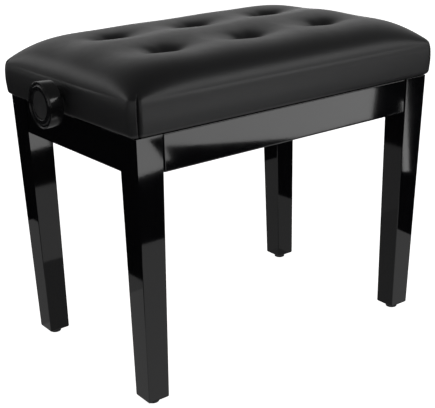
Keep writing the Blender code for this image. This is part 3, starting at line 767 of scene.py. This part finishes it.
def grown(name, tree, values):
    """The plain mesh that a node tree grows with these inputs."""
    holder = bpy.data.objects.new(name, bpy.data.meshes.new(name))
    bpy.context.scene.collection.objects.link(holder)
    modifier = holder.modifiers.new(name, "NODES")
    modifier.node_group = tree
    for identifier, value in values.items():
        modifier[identifier] = value
    depsgraph = bpy.context.evaluated_depsgraph_get()
    mesh = bpy.data.meshes.new_from_object(holder.evaluated_get(depsgraph))
    bpy.data.objects.remove(holder)
    return mesh


class BENCH_OT_spindle(bpy.types.Operator):
    """Make the spindle with its rolled thread and collars"""
    bl_idname = "bench.spindle"
    bl_label = "Spindle"

    def execute(self, context):
        shape = context.scene.bench_shape
        low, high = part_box("spindle")
        end, radius = high.x, shape.spindle_radius
        collar_r = (high.z - low.z) / 2
        face, thick = shape.collar_face, 5 * MM
        start, finish = shape.thread_start, shape.thread_start + shape.thread_length
        edge, root = 0.5 * MM, radius - shape.thread_depth
        outline = rounded([
            (0, end, 0), (radius, end, edge), (radius, face, 0), (collar_r, face, edge),
            (collar_r, face - thick, edge), (radius, face - thick, 0), (radius, finish, 0),
            (root, finish, 0), (root, start, 0), (radius, start, 0), (radius, thick - face, 0),
            (collar_r, thick - face, edge), (collar_r, -face, edge), (radius, -face, 0),
            (radius, -end, edge), (0, -end, 0)])
        plated = finish_of(zinc_plate)
        piece("spindle_shaft", turned(outline, 48, (0, 0, SPINDLE_Z), (1, 0, 0)), [plated],
              "spindle", ["spindle"])
        tree, identifiers = thread_tree()
        values = {"Core Radius": root, "Crest Radius": radius,
                  "Pitch": shape.thread_pitch, "Length": shape.thread_length,
                  "Place": (start, 0.0, SPINDLE_Z), "Material": plated}
        mesh = grown("spindle_thread", tree,
                     {identifiers[name]: value for name, value in values.items()})
        piece_of_mesh("spindle_thread", mesh, [plated], "spindle")
        return {"FINISHED"}


class BENCH_OT_bushes(bpy.types.Operator):
    """Make the flanged bushes that carry the spindle"""
    bl_idname = "bench.bushes"
    bl_label = "Spindle bushes"

    def execute(self, context):
        shape = context.scene.bench_shape
        for end, sign in ENDS.items():
            name = "spindle_bush_" + end
            low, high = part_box(name)
            length, flange_r = high.x - low.x, (high.z - low.z) / 2
            bore, barrel, flange = shape.spindle_radius + 0.25 * MM, 9 * MM, 3 * MM
            edge = 0.7 * MM
            outline = rounded([(bore, 0, 0), (bore, length, 0.3 * MM), (flange_r, length, edge),
                               (flange_r, length - flange, edge), (barrel, length - flange, 0),
                               (barrel, 0, 0)])
            inner = low.x if sign > 0 else high.x
            bm = turned(outline, 48, (inner, 0, SPINDLE_Z), (sign, 0, 0), ring=True)
            piece("nylon_" + name, bm, [finish_of(moulded_nylon)], "seat",
                  [name])
        return {"FINISHED"}


class BENCH_OT_knobs(bpy.types.Operator):
    """Make the two ringed knobs and the discs in their faces"""
    bl_idname = "bench.knobs"
    bl_label = "Knobs"

    def execute(self, context):
        shape = context.scene.bench_shape
        gloss = finish_of(moulded_abs, "abs_moulded_gloss", "#0b0b0c", 0.16, 0.004)
        satin = finish_of(moulded_abs, "abs_moulded_satin", "#1d1d1e", 0.42, 0.02)
        for end, sign in ENDS.items():
            low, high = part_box("knob_" + end)
            radius, thick = (high.z - low.z) / 2, high.x - low.x
            cap_r = (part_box("knob_cap_" + end)[1].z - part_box("knob_cap_" + end)[0].z) / 2
            bore = shape.spindle_radius + 0.3 * MM
            rim, groove = radius - shape.knob_rim, radius - shape.knob_rim - shape.knob_groove
            # heights over the knob's back: floors of the disc's recess and groove, bore's end
            recess, sunk, blind = thick - 4.5 * MM, thick - 2 * MM, thick - 7.7 * MM
            recess_r = cap_r + 0.3 * MM
            body = rounded([
                (0, recess, 0), (recess_r, recess, 0), (recess_r, thick - 0.6 * MM, 0.4 * MM),
                (cap_r + 1.8 * MM, thick, 1.2 * MM),
                (groove - 0.6 * MM, thick - 0.3 * MM, 1.4 * MM), (groove, sunk, 0.6 * MM),
                (rim - 0.3 * MM, sunk, 0.6 * MM),
                (rim, thick - 0.4 * MM, 0.4 * MM), (radius, thick - 0.6 * MM, 0.9 * MM),
                (radius, 0, 1.6 * MM), (bore, 0, 0), (bore, blind, 0), (0, blind, 0)])
            disc = rounded([(0, thick - 2.6 * MM, 0), (0.5 * cap_r, thick - 2.2 * MM, 4 * MM),
                            (cap_r - 1.6 * MM, thick - 1.4 * MM, 1 * MM),
                            (cap_r, thick - 1.5 * MM, 0.5 * MM), (cap_r, thick - 4.2 * MM, 0),
                            (0, thick - 4.2 * MM, 0)])
            back = (low.x if sign > 0 else high.x, 0, SPINDLE_Z)
            piece("ringed_knob_" + end, turned(body, 96, back, (sign, 0, 0)), [gloss],
                  "spindle", ["knob_" + end], sharp_above=30)
            piece("knob_disc_" + end, turned(disc, 72, back, (sign, 0, 0)), [satin],
                  "spindle", ["knob_cap_" + end], sharp_above=30)
        return {"FINISHED"}


# ---------------------------------------------------------------- stage

def stage_piece(name, bm, material, seen_by_camera, seen_in_reflections):
    """A floor, card or screen; one that isn't seen by both only shows, and lights nothing."""
    mesh = bpy.data.meshes.new(name)
    bm.to_mesh(mesh)
    bm.free()
    mesh.materials.append(material)
    obj = bpy.data.objects.new(name, mesh)
    bpy.context.scene.collection.objects.link(obj)
    obj.visible_camera = seen_by_camera
    obj.visible_glossy = seen_in_reflections
    real = seen_by_camera and seen_in_reflections
    obj.visible_diffuse = obj.visible_shadow = obj.visible_transmission = real


def flat_sheet(outline, height):
    """A level sheet inside this outline."""
    bm = bmesh.new()
    bm.faces.new([bm.verts.new((*point, height)) for point in outline])
    return bm


def make_backdrop():
    """A round white screen far behind the bench that only the camera sees."""
    bm = bmesh.new()
    radius, height, sunk = 20.0, 16.0, 0.1
    bmesh.ops.create_cone(bm, segments=64, radius1=radius, radius2=radius, depth=height,
                          matrix=Matrix.Translation((0, 0, height / 2 - sunk)))
    stage_piece("backdrop", bm, card_material("backdrop_white", (0, 0, 0), 1.0), True, False)


def softbox(name, place, target, size, strength):
    """A rectangular studio light of this radiance, aimed at a point."""
    light = bpy.data.lights.new(name, "AREA")
    light.shape = "RECTANGLE"
    light.size, light.size_y = size
    light.energy = strength * math.pi * size[0] * size[1]
    obj = bpy.data.objects.new(name, light)
    obj.location = place
    aim = (Vector(place) - Vector(target)).to_track_quat("Z", "Y")
    obj.rotation_euler = aim.to_euler()
    obj.visible_camera = False
    bpy.context.scene.collection.objects.link(obj)


def card_material(name, colour, strength):
    """A matt or glowing stage card."""
    material = bpy.data.materials.new(name)
    material.use_nodes = True
    shader = material.node_tree.nodes["Principled BSDF"]
    shader.inputs["Base Color"].default_value = (*colour, 1)
    shader.inputs["Roughness"].default_value = 1.0
    shader.inputs["Specular IOR Level"].default_value = 0.0
    shader.inputs["Emission Color"].default_value = (1, 1, 1, 1)
    shader.inputs["Emission Strength"].default_value = strength
    return material


def make_world(stage):
    """Two pale studio walls, behind right and before left, under a dark ceiling."""
    world = bpy.data.worlds.new("studio")
    bpy.context.scene.world = world
    world.use_nodes = True
    tree = world.node_tree
    background = tree.nodes["Background"]
    place = add_node(tree, "ShaderNodeTexCoord")
    height = add_node(tree, "ShaderNodeSeparateXYZ", None, {"Vector": place.outputs["Generated"]})
    facing = add_node(tree, "ShaderNodeVectorMath", {"operation": "DOT_PRODUCT"},
                      {0: place.outputs["Generated"],
                       1: (math.cos(stage.wall_turn), math.sin(stage.wall_turn), 0)})
    # either wall fades out sideways between these shares of facing it, and upwards over its top
    wall_edge, wall_full, top_fade = 0.35, 0.85, 0.25
    either = add_node(tree, "ShaderNodeMath", {"operation": "ABSOLUTE"},
                      {0: facing.outputs["Value"]})
    wall = add_node(tree, "ShaderNodeMapRange", {"interpolation_type": "SMOOTHSTEP"},
                    {"Value": either.outputs[0], "From Min": wall_edge, "From Max": wall_full,
                     "To Min": stage.side_light, "To Max": stage.wall_light})
    ramp = add_node(tree, "ShaderNodeMapRange", {"interpolation_type": "SMOOTHSTEP"},
                    {"Value": height.outputs["Z"],
                     "From Min": math.sin(stage.wall_top - top_fade),
                     "From Max": math.sin(stage.wall_top + top_fade),
                     "To Min": wall.outputs["Result"], "To Max": stage.ceiling_light})
    tree.links.new(ramp.outputs["Result"], background.inputs["Strength"])
    background.inputs["Color"].default_value = (1, 1, 1, 1)


def make_floor(stage):
    """A pale floor, lit from within like a light table, and the cards that shape its reflections.

    Round the bench the cards are grey, a painted reflection of the lit floor, and darker beneath it
    as painted shade; beyond the pale floor's ends they are black, a painted dark reflection.
    A card shaped like a low box lies along each long side: a painted reflection of a softbox,
    glowing only in reflections and lighting nothing.
    """
    reach, far, lift = 40.0, 12.0, 1 * MM
    stage_piece("floor", flat_sheet(corners_of((-reach, -reach), (reach, reach)), 0),
                card_material("floor_pale", (0.9, 0.9, 0.9), stage.floor_glow), True, True)
    x, y = stage.pale_half_x, stage.pale_half_y
    under_x, under_y = FRAME_HALF
    # grey cards: painted reflections of the lit floor round the bench, painted shade under it, and
    # black beyond the pale floor
    for name, low, high, glow in (
            ("front_end", (-far, -far), (far, -y), 0), ("back_end", (-far, y), (far, far), 0),
            ("left_end", (-far, -y), (-x, y), 0), ("right_end", (x, -y), (far, y), 0),
            ("front", (-x, -y), (x, -under_y), 0.60), ("back", (-x, under_y), (x, y), 0.26),
            ("left", (-x, -under_y), (-under_x, under_y), 0.36),
            ("right", (under_x, -under_y), (x, under_y), 0.36),
            ("under", (-under_x, -under_y), (under_x, under_y), 0.22)):
        reflected_card(name, corners_of(low, high), glow, lift)
    # outlines of glowing cards that paint a low softbox's reflection along each long side; they
    # light nothing
    wide_reflection_outline = ((0.16, 0.94), (0.33, 0.97), (0.40, 1.16), (0.46, 1.17), (0.52, 1.28),
                (0.60, 1.225), (0.85, 1.09), (1.13, 1.10), (1.42, 1.36), (1.60, 2.20),
                (0.70, 2.20), (0.22, 1.40))
    thin_reflection_outline = ((0.757, 0.62), (0.772, 0.615), (1.37, 1.17), (1.345, 1.18))
    for side, sign in SIDES.items():
        for name, outline in (("wide", wide_reflection_outline), ("thin", thin_reflection_outline)):
            reflected_card("%s_painted_box_reflection_%s" % (name, side), [(px, sign * py) for px, py in outline],
                           stage.box_reflection_glow, 2 * lift)


def corners_of(low, high):
    """The corners of a level rectangle."""
    return [low, (high[0], low[1]), high, (low[0], high[1])]


def reflected_card(name, outline, glow, lift):
    """A card just above the floor, of this brightness, that shows only in reflections."""
    stage_piece("card_" + name, flat_sheet(outline, lift),
                card_material("card_" + name, (0, 0, 0), glow), False, True)


def make_camera(stage):
    """The camera, looking down on the bench's front left corner."""
    turn, tilt, roll = stage.camera_turn, stage.camera_tilt, stage.camera_roll
    ahead = Vector((math.cos(tilt) * math.cos(turn), math.cos(tilt) * math.sin(turn),
                    math.sin(tilt)))
    level = Vector((math.sin(turn), -math.cos(turn), 0))
    above = level.cross(ahead)
    right = math.cos(roll) * level + math.sin(roll) * above
    up = math.cos(roll) * above - math.sin(roll) * level
    camera = bpy.data.cameras.new("camera")
    camera.sensor_width = 36
    camera.lens = stage.lens
    camera.shift_x, camera.shift_y = stage.shift
    obj = bpy.data.objects.new("camera", camera)
    obj.matrix_world = Matrix.Translation(stage.camera_place) @ Matrix(
        (right, up, -ahead)).transposed().to_4x4()
    bpy.context.scene.collection.objects.link(obj)
    bpy.context.scene.camera = obj


class BENCH_OT_stage(bpy.types.Operator):
    """Set the floor, the lights and the camera"""
    bl_idname = "bench.stage"
    bl_label = "Stage"

    def execute(self, context):
        stage = context.scene.bench_stage
        make_world(stage)
        make_floor(stage)
        make_backdrop()
        # boxes at the horizon that glint on the knobs' sides and the cushion's walls
        for side, sign in SIDES.items():
            softbox("horizon_softbox_" + side, place=(1.9, sign * 2.5, 0.36),
                    target=(0, 0, 0.40), size=(1.8, 0.22), strength=stage.horizon_softbox)
        # raised boxes that run as a highlight along the cushion's upper edges, dimmer behind
        for side, sign, share in (("front", 1, 1.0), ("back", -1, 0.4)):
            softbox("high_softbox_" + side, place=(sign * 1.3, sign * -1.9, 1.45),
                    target=(0, 0, 0.45), size=(1.8, 0.8), strength=stage.high_softbox * share)
        context.scene.view_settings.view_transform = "Standard"
        make_camera(stage)
        return {"FINISHED"}


# ---------------------------------------------------------------- properties and panel

def metres(name, description, default):
    """A property for a length in metres."""
    return FloatProperty(name=name, description=description, default=default, unit="LENGTH",
                         precision=4)


def amount(name, description, default):
    """A property for a plain number."""
    return FloatProperty(name=name, description=description, default=default)


def degrees(name, description, default):
    """A property for an angle, given in degrees."""
    return FloatProperty(name=name, description=description, default=math.radians(default),
                         subtype="ANGLE")


def hex_colour(name, description, code):
    """A property for a colour, given as sRGB hex."""
    return FloatVectorProperty(name=name, description=description, default=srgb(code), size=3,
                               subtype="COLOR", min=0, max=1)


class BenchShape(bpy.types.PropertyGroup):
    """Sizes of the bench's own pieces."""
    leg_top: metres("Leg top", "Side of the square leg at its top", 0.0430)
    cad_edge: metres("Frame edge", "Rounding of the packed legs' edges", 0.0025)
    leg_edge: metres("Leg edge", "Rounding of the leg's edges", 0.0012)
    foot_chamfer: metres("Foot chamfer", "Chamfer round the leg's lower end", 0.0015)
    apron_edge: metres("Apron edge", "Rounding of the apron's edges", 0.0030)
    wall_height: metres("Wall height", "Height of the cushion's upright wall", 0.0495)
    wall_drop: metres("Wall drop", "How far the wall hangs below the seat's wooden frame", 0.0012)
    wall_tuck: metres("Wall tuck", "How far the wall's lower edge turns in", 0.0070)
    corner_radius: metres("Corner radius", "The cushion's corners, seen from above", 0.0130)
    edge_roll: metres("Edge roll", "How far the wall's upper edge rolls inwards", 0.0014)
    wall_bulge: metres("Wall bulge", "How far the wall swells out halfway up", 0.0018)
    crown_rise: metres("Crown rise", "Height of the crown over the wall", 0.0515)
    crown_reach_x: metres("End slope", "Distance from the ends to the crown's level part", 0.137)
    crown_reach_y: metres("Side slope", "Distance from the sides to the crown's level part", 0.129)
    crown_roundness: amount("Crown roundness", "Higher makes the crown's shoulders fuller", 2.4)
    dimple_depth: metres("Button depth", "How deep the buttons pull their funnels", 0.0165)
    dimple_radius: metres("Button pull", "Distance at which the pull is halved", 0.0150)
    dimple_steepness: amount("Pull steepness", "Higher makes the dimples' sides steeper", 2.5)
    dimple_stretch: amount("Pull stretch", "How much longer the dimples are along the seat", 1.65)
    sag_depth: metres("Sag depth", "How far a button pulls the wide hollow round it", 0.0135)
    sag_reach_x: metres("Sag length", "Reach of the hollow along the seat", 0.088)
    sag_reach_y: metres("Sag width", "Reach of the hollow across the seat", 0.066)
    pucker: metres("Pucker", "Height of the small folds round a button", 0.0004)
    pleat_depth: metres("Pleat depth", "Depth of the fold at each corner", 0.0060)
    pleat_width: metres("Pleat width", "Width of the fold at each corner", 0.0026)
    pleat_place: metres("Pleat place", "How far from the corner the fold lies on the long side",
                        0.0070)
    pleat_fade: metres("Pleat fade", "Height over which the fold runs out on the crown", 0.0120)
    spindle_radius: metres("Spindle radius", "Radius of the spindle's shaft", 0.0060)
    collar_face: metres("Collar face", "Distance of the spindle's collars from its middle", 0.2425)
    thread_start: metres("Thread start", "Where the thread begins, from the middle", 0.130)
    thread_length: metres("Thread length", "How long the thread is", 0.052)
    thread_pitch: metres("Thread pitch", "Travel of the nut in one turn", 0.004)
    thread_depth: metres("Thread depth", "Depth of the thread", 0.0009)
    knob_rim: metres("Knob rim", "Width of the thin rim round the knob's face", 0.0015)
    knob_groove: metres("Knob groove", "Width of the groove inside the rim", 0.0038)


class BenchFinish(bpy.types.PropertyGroup):
    """Colours of the bench's finishes."""
    lacquer: hex_colour("Lacquer", "Colour of the sprayed lacquer", "#050506")
    leatherette: hex_colour("Leatherette", "Colour of the seat's cover", "#19191a")


class BenchStage(bpy.types.PropertyGroup):
    """Camera, floor and lights."""
    camera_place: FloatVectorProperty(name="Camera place", description="Where the camera stands",
                                      default=(-0.92907, -1.21003, 0.75230), size=3, unit="LENGTH")
    camera_turn: degrees("Camera turn", "Heading of the view, from +X towards +Y", 55.021)
    camera_tilt: degrees("Camera tilt", "Slope of the view, below the horizon if negative", -20.346)
    camera_roll: degrees("Camera roll", "Turn of the camera about its own axis", -2.2035)
    lens: amount("Lens", "Focal length in millimetres", 81.385)
    shift: FloatVectorProperty(name="Shift", description="Shift of the lens", size=2,
                               default=(0.0809, 0.0298))
    floor_glow: amount("Floor glow", "Light that the floor itself gives", 0.95)
    pale_half_x: metres("Pale floor along", "Half the pale floor's length", 0.50)
    pale_half_y: metres("Pale floor across", "Half the pale floor's width", 0.64)
    wall_light: amount("Wall light", "Brightness of the two pale walls", 0.66)
    side_light: amount("Side light", "Brightness of the studio between the pale walls", 0.16)
    wall_turn: degrees("Wall turn", "Heading of the pale wall behind", 50)
    ceiling_light: amount("Ceiling light", "Brightness of the studio ceiling", 0.12)
    wall_top: degrees("Wall top", "Height of the pale walls above the horizon", 36)
    # brightness of the cards that paint a low softbox's reflection; they light nothing
    box_reflection_glow: amount("Low softboxes", "Brightness of the boxes near the floor", 2.5)
    horizon_softbox: amount("Horizon softboxes", "Brightness of the boxes at the horizon", 3.0)
    high_softbox: amount("High softboxes", "Brightness of the raised boxes", 2.9)


class BENCH_PT_panel(bpy.types.Panel):
    """Lists the bench's sizes, finishes and steps"""
    bl_idname = "BENCH_PT_panel"
    bl_label = "Piano Bench"
    bl_space_type = "VIEW_3D"
    bl_region_type = "UI"
    bl_category = "Piano Bench"

    def draw(self, context):
        scene = context.scene
        for group in (scene.bench_shape, scene.bench_finish, scene.bench_stage):
            box = self.layout.box()
            for name in group.bl_rna.properties.keys():
                if name not in ("name", "rna_type"):
                    box.prop(group, name)
        for step in STEPS:
            self.layout.operator(step.bl_idname)


GROUPS = {"bench_shape": BenchShape, "bench_finish": BenchFinish, "bench_stage": BenchStage}
STEPS = (BENCH_OT_legs, BENCH_OT_aprons, BENCH_OT_glides, BENCH_OT_corner_joints,
         BENCH_OT_cushion, BENCH_OT_buttons, BENCH_OT_seat_frame, BENCH_OT_lift,
         BENCH_OT_spindle, BENCH_OT_bushes, BENCH_OT_knobs, BENCH_OT_stage)


def register():
    """Register the add-on's classes and its groups of properties."""
    for made in (*GROUPS.values(), *STEPS, BENCH_PT_panel):
        bpy.utils.register_class(made)
    for name, group in GROUPS.items():
        setattr(bpy.types.Scene, name, PointerProperty(type=group))


def unregister():
    """Remove what register added."""
    for name in GROUPS:
        delattr(bpy.types.Scene, name)
    for made in reversed((*GROUPS.values(), *STEPS, BENCH_PT_panel)):
        bpy.utils.unregister_class(made)


def main():
    """Build every piece and the stage."""
    register()
    for step in STEPS:
        group, name = step.bl_idname.split(".")
        getattr(getattr(bpy.ops, group), name)()


if __name__ == "__main__":
    main()
